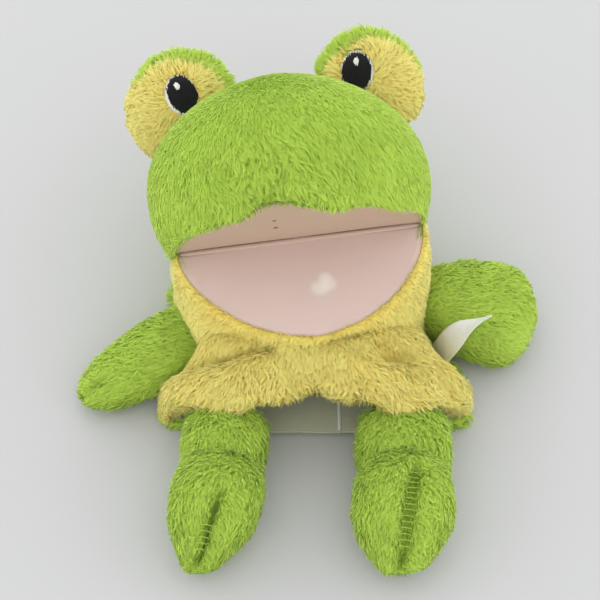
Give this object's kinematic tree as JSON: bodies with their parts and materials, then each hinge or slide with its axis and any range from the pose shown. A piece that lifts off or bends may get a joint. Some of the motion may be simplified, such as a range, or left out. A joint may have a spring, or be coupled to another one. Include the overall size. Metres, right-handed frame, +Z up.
{
  "type": "hand puppet",
  "caption": "Plush frog hand puppet lying on its back with its mouth open: hollow sleeve, pockets for fingers and thumb, stuffed limbs that flap.",
  "frame": {"origin": "on the flat underside of the back panel, below the chest", "axes": "+Y towards the head, +Z up from the table, +X towards the side with the label"},
  "size_m": [0.2814, 0.3341, 0.1594],
  "materials": {
    "green_plush": "long soft pile",
    "yellow_plush": "long soft pile",
    "mouth_cloth": "short smooth knit",
    "lining": "plain weave",
    "felt": "embroidered",
    "pupil": "embroidered, slight sheen",
    "fibre": "loose polyester fibre",
    "board": "stiff card",
    "satin": "satin ribbon"
  },
  "bodies": {
    "torso": {"back_panel": "green_plush", "belly_panel": "yellow_plush", "back_lining": "lining", "front_lining": "lining", "fold_tape": "mouth_cloth"},
    "head": {"head_crown": "green_plush", "head_filling": "fibre", "upper_palate": "mouth_cloth", "upper_board": "board", "finger_pocket": "lining", "eye_left_back": "green_plush", "eye_left_front": "yellow_plush", "eye_left_filling": "fibre", "eye_left_white": "felt", "eye_left_pupil": "pupil", "eye_left_glint": "felt", "eye_right_back": "green_plush", "eye_right_front": "yellow_plush", "eye_right_filling": "fibre", "eye_right_white": "felt", "eye_right_pupil": "pupil", "eye_right_glint": "felt"},
    "jaw": {"chin": "yellow_plush", "chin_padding": "fibre", "lower_palate": "mouth_cloth", "lower_board": "board", "thumb_pocket": "lining"},
    "label": {"care_label": "satin"},
    "arm_left": {"arm_left": "green_plush", "arm_left_filling": "fibre"},
    "leg_left": {"leg_left": "green_plush", "leg_left_filling": "fibre"},
    "foot_left": {"foot_left": "green_plush", "foot_left_filling": "fibre"},
    "arm_right": {"arm_right": "green_plush", "arm_right_filling": "fibre"},
    "leg_right": {"leg_right": "green_plush", "leg_right_filling": "fibre"},
    "foot_right": {"foot_right": "green_plush", "foot_right_filling": "fibre"}
  },
  "joints": [
    {"name": "head_nod", "type": "hinge", "parent": "torso", "child": "head", "pos_m": [-0.009, 0.03, 0.062], "axis": [0.9877, 0.1564, 0], "range_deg": [0, 25]},
    {"name": "jaw_close", "type": "hinge", "parent": "torso", "child": "jaw", "pos_m": [-0.009, 0.03, 0.062], "axis": [-0.9877, -0.1564, 0], "range_deg": [0, 45]},
    {"name": "arm_left_lift", "type": "hinge", "parent": "torso", "child": "arm_left", "pos_m": [-0.054, -0.01, 0.031], "axis": [0, 1, 0], "range_deg": [0, 30]},
    {"name": "arm_right_lift", "type": "hinge", "parent": "torso", "child": "arm_right", "pos_m": [0.056, 0.012, 0.033], "axis": [0, -1, 0], "range_deg": [0, 20]},
    {"name": "leg_left_lift", "type": "hinge", "parent": "torso", "child": "leg_left", "pos_m": [-0.052, -0.0835, 0.046], "axis": [-1, 0, 0], "range_deg": [0, 80]},
    {"name": "leg_right_lift", "type": "hinge", "parent": "torso", "child": "leg_right", "pos_m": [0.052, -0.0835, 0.046], "axis": [-1, 0, 0], "range_deg": [0, 80]},
    {"name": "foot_left_bend", "type": "hinge", "parent": "leg_left", "child": "foot_left", "pos_m": [-0.0545, -0.1072, 0.045], "axis": [-1, 0, 0], "range_deg": [0, 30]},
    {"name": "foot_right_bend", "type": "hinge", "parent": "leg_right", "child": "foot_right", "pos_m": [0.051, -0.1073, 0.045], "axis": [-1, 0, 0], "range_deg": [0, 30]},
    {"name": "label_flap", "type": "hinge", "parent": "torso", "child": "label", "pos_m": [0.0876, -0.036, 0.0065], "axis": [0.1392, 0.9903, 0], "range_deg": [-10, 15], "stiffness_Nm_per_rad": 0.0004}
  ]
}
